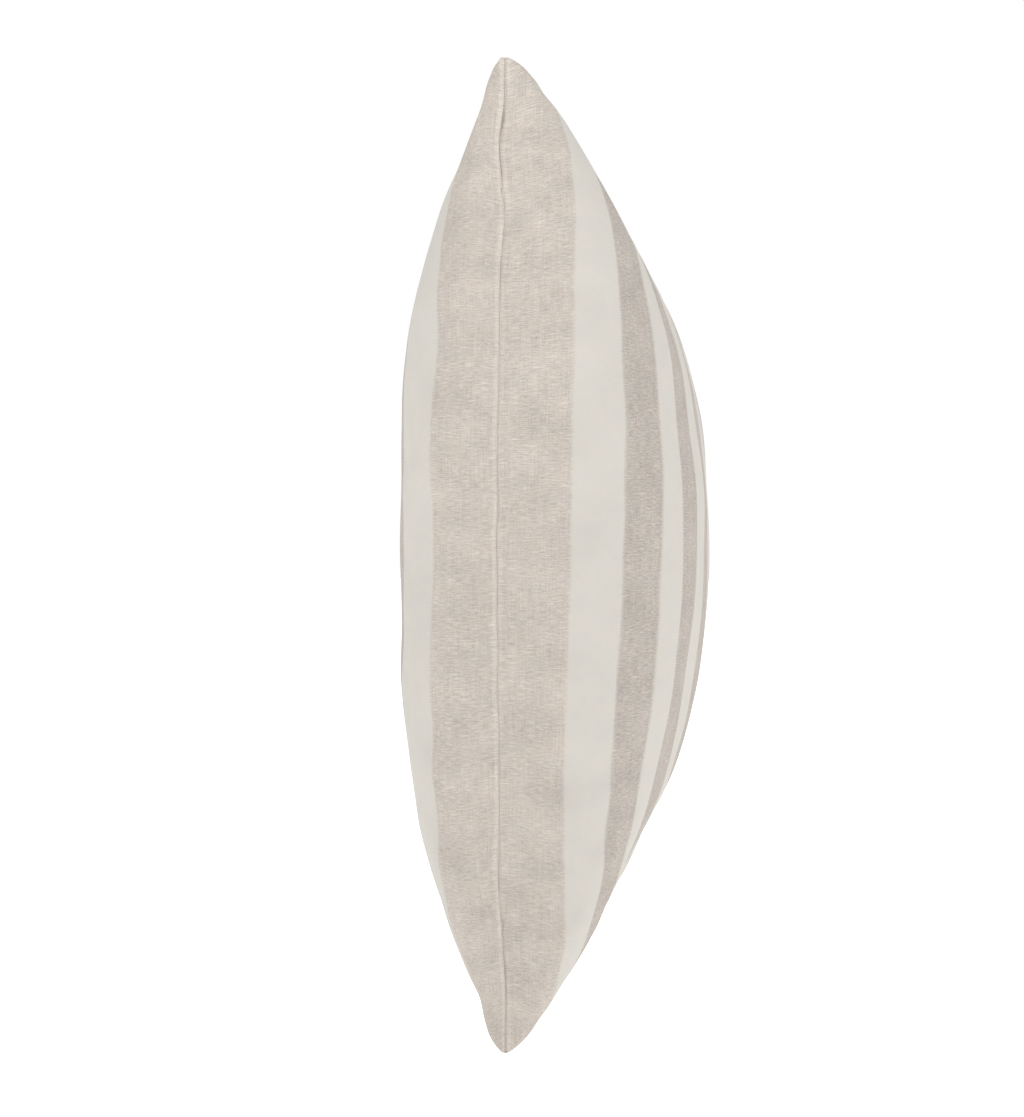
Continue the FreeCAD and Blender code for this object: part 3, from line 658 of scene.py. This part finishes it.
def sewn_places(inset, pitch, margin):
    """The places along the seam that are sewn, as centres and directions along the edge."""
    places = [(x, z, run) for edge, (x, z), run in edge_places(inset, pitch, margin)
              if edge != "bottom" or abs(x) >= BESIDE_OPENING]
    centres = np.array([[x, seam_line_y(x, z), z] for x, z, _ in places])
    runs = np.array([[run[0], 0, run[1]] for _, _, run in places])
    lifts = np.tile([0.0, 1.0, 0.0], (len(places), 1))
    return centres, runs, lifts


def cover_stitches():
    """The lockstitches through both allowances, beside the zipper opening's ends and up the sides."""
    centres, runs, lifts = sewn_places(inset=2.0, pitch=4.0, margin=8.0)
    return thread_loops("cover_stitches", centres, runs, lifts, 1.3, HALF_LIFT)


def cover_overlock():
    """Overlock loops round the allowances' raw edges, slanted along the edge."""
    centres, runs, lifts = sewn_places(inset=ALLOWANCE - 1.2, pitch=5.0, margin=14.0)
    inward = np.stack([-runs[:, 2], runs[:, 1], runs[:, 0]], axis=-1)
    slanted = inward + 0.35 * runs
    slanted /= np.linalg.norm(slanted, axis=1, keepdims=True)
    return thread_loops("cover_overlock", centres, slanted, lifts, 1.9, HALF_LIFT)


def care_label():
    """A blank satin ribbon sewn to the +X allowance, drooping a little towards the filling."""
    low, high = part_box("care_label")
    width, height = (high.x - low.x) / MM, (high.z - low.z) / MM
    mid_x, mid_z = (high.x + low.x) / 2 / MM, 0.0
    across, up = np.meshgrid(np.linspace(-1, 1, 17), np.linspace(-1, 1, 33), indexing="ij")
    x = mid_x + across * width / 2
    z = mid_z + up * height / 2
    y = seam_line_y(MIDDLE, 0) + HALF_LIFT + THREAD_RADIUS + RIBBON
    free = (1 - across) / 2
    droop = 1.2 * free ** 2 + 0.25 * np.sin(up * 3.0 + across) * free
    points = np.stack([x, y + droop, z], axis=-1).reshape(-1, 3)
    ids = np.arange(points.shape[0]).reshape(across.shape)
    piece = new_piece("care_ribbon", points, grid_faces(ids, FRONT))
    solid = piece.modifiers.new("ribbon", "SOLIDIFY")
    solid.thickness = RIBBON * MM
    solid.offset = 0
    return finished(piece)


# ---- materials ---------------------------------------------------------------------------------

class Shader:
    """A material whose nodes are added by short calls that return an output socket."""

    def __init__(self, name, roughness=0.8, **surface):
        self.material = bpy.data.materials.new(name)
        self.material.use_nodes = True
        self.tree = self.material.node_tree
        self.surface = self.tree.nodes["Principled BSDF"]
        self.surface.inputs["Roughness"].default_value = roughness
        for socket, value in surface.items():
            self.surface.inputs[socket.replace("_", " ")].default_value = value

    def add(self, kind, inputs, output=0, **settings):
        node = self.tree.nodes.new(kind)
        for name, value in settings.items():
            setattr(node, name, value)
        for key, value in inputs.items():
            if isinstance(value, bpy.types.NodeSocket):
                self.tree.links.new(value, node.inputs[key])
            else:
                socket = node.inputs[key]
                socket.default_value = value[:3] if socket.type == "VECTOR" else value
        return node.outputs[output]

    def math(self, operation, *values):
        return self.add("ShaderNodeMath", dict(enumerate(values)), operation=operation)

    def vector(self, x, y, z=0.0):
        return self.add("ShaderNodeCombineXYZ", {0: x, 1: y, 2: z})

    def flat(self):
        """Across, up and panel number of the cloth at this point."""
        return self.split(self.add("ShaderNodeAttribute", {}, output="Vector", attribute_name="flat"))

    def split(self, place):
        node = self.tree.nodes.new("ShaderNodeSeparateXYZ")
        self.tree.links.new(place, node.inputs[0])
        return tuple(node.outputs)

    def noise(self, where, scale=1.0, detail=2.0, rough=0.5):
        return self.add("ShaderNodeTexNoise", {"Vector": where, "Scale": scale, "Detail": detail,
                                               "Roughness": rough})

    def ramp_between(self, value, low, high, out_low=0.0, out_high=1.0):
        return self.add("ShaderNodeMapRange", {0: value, 1: low, 2: high, 3: out_low, 4: out_high})

    def mix(self, share, first, second):
        return self.add("ShaderNodeMix", {"Factor": share, 6: first, 7: second}, output=2, data_type="RGBA")

    def tone(self, colour, strength):
        """A colour times a number."""
        return self.add("ShaderNodeVectorMath", {0: colour, "Scale": strength}, operation="SCALE")

    def sum(self, *terms):
        total = terms[0]
        for term in terms[1:]:
            total = self.math("ADD", total, term)
        return total

    def finish(self, colour, height=None, depth=0.1, strength=1.0):
        """Use a colour, and a height from 0 to 1 that stands for a depth in millimetres."""
        self.tree.links.new(colour, self.surface.inputs["Base Color"])
        if height is not None:
            normal = self.add("ShaderNodeBump", {"Height": height, "Distance": depth * MM,
                                                 "Strength": strength})
            self.tree.links.new(normal, self.surface.inputs["Normal"])
        return self.material


def linear(red, green, blue):
    """A colour given as 0-255 screen values, for a node."""
    channel = [((c / 255 + 0.055) / 1.055) ** 2.4 for c in (red, green, blue)]
    return (*channel, 1.0)


THREAD_PITCH = 0.62
STRIPES = (37, 32, 34, 31, 34) + (34.4,) * 5 + (34, 31, 34, 32, 37)       # linen first, then cream
BACK_STRIPES = (40.7,) + (47.4,) * 9 + (40.7,)
LINEN_WARM = linear(186, 177, 168)
LINEN_COOL = linear(183, 176, 168)
CREAM_WARM = linear(192, 187, 179)
CREAM_COOL = linear(189, 186, 180)


def stripe_mask(shader, across, widths, soft):
    """0 on the linen bands and 1 on the cream ones, with soft edges."""
    node = shader.tree.nodes.new("ShaderNodeValToRGB")
    node.color_ramp.interpolation = "LINEAR"
    points = node.color_ramp.elements
    points[0].position, points[0].color = 0.0, (0, 0, 0, 1)
    points[1].position, points[1].color = 1.0, (0, 0, 0, 1)
    edge, shade = 0.0, 0.0
    for width in widths[:-1]:
        edge += width
        for place, value in ((edge - soft, shade), (edge + soft, 1 - shade)):
            stop = points.new(place / FLAT_SIZE)
            stop.color = (value, value, value, 1)
        shade = 1 - shade
    share = shader.math("DIVIDE", across, FLAT_SIZE)
    shader.tree.links.new(share, node.inputs[0])
    return node.outputs[0]


def weave(shader, u, v, pitch):
    """Height of a plain weave, with threads that wander a little so that it never lines up."""
    wander_u = shader.math("MULTIPLY", shader.noise(shader.vector(u, v), 0.35, 1.0), pitch * 1.6)
    wander_v = shader.math("MULTIPLY", shader.noise(shader.vector(v, u, 7.0), 0.35, 1.0), pitch * 1.6)
    turn = math.pi / pitch
    warp = shader.math("SINE", shader.math("MULTIPLY", shader.math("ADD", u, wander_u), turn))
    weft = shader.math("SINE", shader.math("MULTIPLY", shader.math("ADD", v, wander_v), turn))
    return shader.math("MULTIPLY", warp, weft)


def cover_linen(name, widths):
    """Slubbed linen bands and finer cream ones, with the threads along and across the panel."""
    shader = Shader(name, roughness=0.95, Sheen_Weight=0.04, Sheen_Roughness=0.6,
                    Specular_IOR_Level=0.1)
    u, v, panel = shader.flat()

    def patches(across, up, layer, detail=2.0, rough=0.5):
        """Noise in patches of a size in millimetres, different on each layer and panel."""
        depth = shader.math("ADD", shader.math("MULTIPLY", panel, 40.0), layer)
        where = shader.vector(shader.math("DIVIDE", u, across), shader.math("DIVIDE", v, up), depth)
        return shader.noise(where, 1.0, detail, rough)

    def centred(value, amount):
        return shader.math("MULTIPLY", shader.math("SUBTRACT", value, 0.5), amount)

    threads = weave(shader, u, v, THREAD_PITCH)
    slub = shader.ramp_between(patches(11, 0.9, 0.0, 2.0, 0.6), 0.56, 0.74)
    fine_weft = patches(5.0, 0.55, 3.0, 2.0, 0.6)
    fine_warp = patches(0.7, 22.0, 5.0)
    grain = patches(0.8, 0.8, 9.0, 2.0, 0.6)
    mottle = patches(26, 18, 13.0, 3.0, 0.55)
    hue = patches(14, 9, 17.0)
    speck = shader.ramp_between(patches(0.9, 0.8, 21.0, 1.0), 0.76, 0.84)
    linen_tone = shader.sum(0.955, shader.math("MULTIPLY", slub, 0.22), centred(fine_weft, 0.80),
                            centred(fine_warp, 0.30), centred(grain, 0.60), centred(mottle, 0.30),
                            shader.math("MULTIPLY", threads, 0.06), shader.math("MULTIPLY", speck, -0.3))
    cream_tone = shader.sum(1.0, centred(fine_weft, 0.10), centred(mottle, 0.06),
                            shader.math("MULTIPLY", threads, 0.02))
    painted_fold_highlight = shader.ramp_between(u, 3.4, 1.6)           # painted highlight: paler on the fold beside the seam, lightening the groove's shade too
    inner = shader.ramp_between(u, 45.0, 60.0)        # darker from the second linen band on
    linen_tone = shader.sum(linen_tone, shader.math("MULTIPLY", painted_fold_highlight, 0.15),
                            shader.math("MULTIPLY", inner, -0.14))
    linen = shader.mix(shader.ramp_between(hue, 0.35, 0.65), LINEN_WARM, LINEN_COOL)
    cream = shader.mix(shader.ramp_between(hue, 0.3, 0.7), CREAM_WARM, CREAM_COOL)
    ragged = shader.sum(u, centred(patches(60, 0.8, 25.0, 1.0), 1.6),
                        centred(patches(200, 60, 29.0, 1.0), 1.5))
    mask = stripe_mask(shader, ragged, widths, 0.7)
    colour = shader.mix(mask, shader.tone(linen, linen_tone), shader.tone(cream, cream_tone))
    linen_height = shader.sum(shader.math("MULTIPLY", threads, 0.25), shader.math("MULTIPLY", slub, 0.6),
                              fine_weft, shader.math("MULTIPLY", fine_warp, 0.5))
    cream_height = shader.sum(shader.math("MULTIPLY", threads, 0.12),
                              shader.math("MULTIPLY", fine_weft, 0.3))
    height = shader.add("ShaderNodeMix", {"Factor": mask, 2: linen_height, 3: cream_height}, output=0)
    return shader.finish(colour, height, depth=0.16, strength=0.8)


def object_place(shader):
    """Position in millimetres, in the pillow's own frame."""
    place = shader.add("ShaderNodeTexCoord", {}, output="Object")
    return shader.tone(place, 1 / MM)


def plain_cloth(name, colour, pitch, contrast=0.05, roughness=0.85):
    """A plain woven cloth that needs no flat places."""
    shader = Shader(name, roughness=roughness, Sheen_Weight=0.1, Specular_IOR_Level=0.2)
    x, y, z = shader.split(object_place(shader))
    turn = math.pi / pitch
    warp = shader.math("SINE", shader.math("MULTIPLY", x, turn))
    weft = shader.math("SINE", shader.math("MULTIPLY", shader.math("ADD", z, y), turn))
    threads = shader.math("MULTIPLY", warp, weft)
    mottle = shader.noise(shader.vector(x, y, z), 0.15, 3.0)
    tone = shader.sum(1.0, shader.math("MULTIPLY", threads, contrast),
                      shader.math("MULTIPLY", shader.math("SUBTRACT", mottle, 0.5), contrast * 2))
    return shader.finish(shader.tone(colour, tone), threads, depth=0.1, strength=0.6)


def thread_finish():
    """Spun thread: fine twist lines and a little fuzz."""
    shader = Shader("spun_thread", roughness=0.75, Sheen_Weight=0.2)
    where = object_place(shader)
    twist = shader.add("ShaderNodeTexWave", {"Vector": where, "Scale": 2.4, "Distortion": 1.5,
                                             "Detail": 1.0}, output="Fac", bands_direction="DIAGONAL")
    fuzz = shader.noise(where, 1.5, 3.0)
    tone = shader.sum(0.94, shader.math("MULTIPLY", twist, 0.08), shader.math("MULTIPLY", fuzz, 0.06))
    return shader.finish(shader.tone(linear(212, 206, 194), tone), twist, depth=0.04)


def tape_finish():
    """Zipper tape: a fine herringbone."""
    shader = Shader("zipper_tape_weave", roughness=0.8, Sheen_Weight=0.1)
    where = object_place(shader)
    rib = shader.add("ShaderNodeTexWave", {"Vector": where, "Scale": 0.9, "Distortion": 0.6},
                     output="Fac", bands_direction="X")
    cross = shader.add("ShaderNodeTexWave", {"Vector": where, "Scale": 0.9, "Distortion": 0.6},
                       output="Fac", bands_direction="DIAGONAL")
    both = shader.math("MULTIPLY", rib, cross)
    tone = shader.math("ADD", 0.92, shader.math("MULTIPLY", both, 0.12))
    return shader.finish(shader.tone(linear(208, 202, 190), tone), both, depth=0.08)


def coil_finish():
    """Clear-dyed monofilament with faint drawing lines."""
    shader = Shader("coil_monofilament", roughness=0.32, Coat_Weight=0.15)
    where = object_place(shader)
    lines = shader.noise(shader.add("ShaderNodeVectorMath", {0: where, 1: (6.0, 0.6, 6.0)},
                                    operation="MULTIPLY"), 1.0, 2.0)
    tone = shader.math("ADD", 0.95, shader.math("MULTIPLY", lines, 0.08))
    return shader.finish(shader.tone(linear(205, 199, 186), tone), lines, depth=0.02, strength=0.4)


def enamel_finish():
    """Baked enamel on the slider, pull and stops, with a fine orange-peel surface."""
    shader = Shader("zipper_enamel", roughness=0.3, Coat_Weight=0.4, Coat_Roughness=0.2)
    where = object_place(shader)
    peel = shader.noise(where, 2.2, 2.0)
    rubbed = shader.ramp_between(shader.noise(where, 0.5, 3.0), 0.62, 0.8)
    colour = shader.mix(rubbed, linear(183, 174, 158), linear(165, 156, 141))
    return shader.finish(colour, peel, depth=0.03, strength=0.3)


def dress_cad(thread, satin):
    """Finishes for the CAD pieces that stay."""
    finishes = {"sewing_thread": thread, "label_satin": satin, "zipper_tape": tape_finish(),
                "zipper_coil": coil_finish(), "zipper_metal": enamel_finish()}
    for part in frame["record"]["subparts"]:
        node = frame["nodes"][part["node"]]
        finish = finishes.get(part["material_slot"])
        if finish:
            for slot in node.material_slots:
                slot.material = finish


# ---- stage -------------------------------------------------------------------------------------

FLOOR_HALF = 40.0
LAMP_PLACE, LAMP_SIDE, LAMP_WATTS = (-2.2, -1.4, 1.8), 2.0, 6


def studio():
    """A pale floor, an even white surround and one broad soft lamp."""
    scene = bpy.context.scene
    scene.view_settings.view_transform = "Standard"
    world = bpy.data.worlds.new("studio")
    world.use_nodes = True
    surround = world.node_tree.nodes["Background"]
    surround.inputs["Color"].default_value = (1, 1, 1, 1)
    surround.inputs["Strength"].default_value = 1.0
    scene.world = world
    mesh = bpy.data.meshes.new("floor")
    corners = ((-1, -1), (1, -1), (1, 1), (-1, 1))
    mesh.from_pydata([(FLOOR_HALF * x, FLOOR_HALF * y, 0) for x, y in corners], [], [(0, 1, 2, 3)])
    floor = bpy.data.objects.new("floor", mesh)
    scene.collection.objects.link(floor)
    shader = Shader("pale_floor", roughness=0.9, Base_Color=(0.95, 0.95, 0.95, 1),
                    Emission_Color=(1, 1, 1, 1), Emission_Strength=0.65)
    mesh.materials.append(shader.material)
    lamp("key", LAMP_PLACE, LAMP_SIDE, LAMP_WATTS)


def lamp(name, place, side, watts):
    """A square soft lamp that faces the pillow."""
    light = bpy.data.lights.new(name, "AREA")
    light.size = side
    light.energy = watts
    holder = bpy.data.objects.new(name, light)
    holder.location = place
    aim = Vector((0, SEAM_Y * MM, MIDDLE_Z * MM)) - holder.location
    holder.rotation_euler = aim.to_track_quat("-Z", "Y").to_euler()
    bpy.context.scene.collection.objects.link(holder)


VIEW_TURN = math.radians(5.5)     # the camera looks along +X, turned this much towards +Y
VIEW_DISTANCE = 1.981
VIEW_SIDE = 0.0199                # how far the camera stands to the left of the pillow's middle
VIEW_DOWN = 0.0017                # and how far below it
VIEW_AIM = 0.5                    # how far behind the seam plane the middle of the view is
LENS = 112.8


def camera():
    """A level camera that looks along the pillow's width at the -X seam."""
    along = Vector((math.cos(VIEW_TURN), math.sin(VIEW_TURN), 0))
    right = Vector((math.sin(VIEW_TURN), -math.cos(VIEW_TURN), 0))
    centre = Vector((0, (SEAM_Y + VIEW_AIM) * MM, MIDDLE_Z * MM))
    data = bpy.data.cameras.new("camera")
    data.lens = LENS
    data.sensor_width = 36.0
    holder = bpy.data.objects.new("camera", data)
    holder.location = centre - along * VIEW_DISTANCE - right * VIEW_SIDE - Vector((0, 0, VIEW_DOWN))
    holder.rotation_euler = along.to_track_quat("-Z", "Y").to_euler()
    bpy.context.scene.collection.objects.link(holder)
    bpy.context.scene.camera = holder


# ---- the whole scene ---------------------------------------------------------------------------

def place(piece, material, slot, *nodes):
    """Give a piece its finish, and let it stand for its CAD nodes."""
    piece.data.materials.clear()
    piece.data.materials.append(material)
    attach(piece, "root")
    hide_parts(*nodes)
    return piece


def main():
    """Make every piece, dress the CAD pieces that stay, and set the stage."""
    panels = cover()
    for side, node, widths in ((FRONT, "cover_front_panel", STRIPES),
                               (BACK, "cover_back_panel", BACK_STRIPES)):
        material = cover_linen(panels[side].name + "_linen", widths)
        place(panels[side], material, "cover_linen", node)
    ticking = plain_cloth("ticking", linear(236, 235, 231), 0.7)
    fibre = plain_cloth("fibre", linear(246, 246, 244), 4.0, 0.02, 0.95)
    front, back, filling = insert()
    place(front, ticking, "insert_ticking", "insert_front_ticking")
    place(back, ticking, "insert_ticking", "insert_back_ticking")
    place(filling, fibre, "polyester_fill", "insert_fill")
    thread = thread_finish()
    place(cover_stitches(), thread, "sewing_thread", "cover_seam_stitching")
    place(cover_overlock(), thread, "sewing_thread", "cover_overlock_thread")
    satin = plain_cloth("satin", linear(240, 239, 236), 0.3, 0.03, 0.45)
    place(care_label(), satin, "label_satin", "care_label")
    dress_cad(thread, satin)
    studio()
    camera()


main()
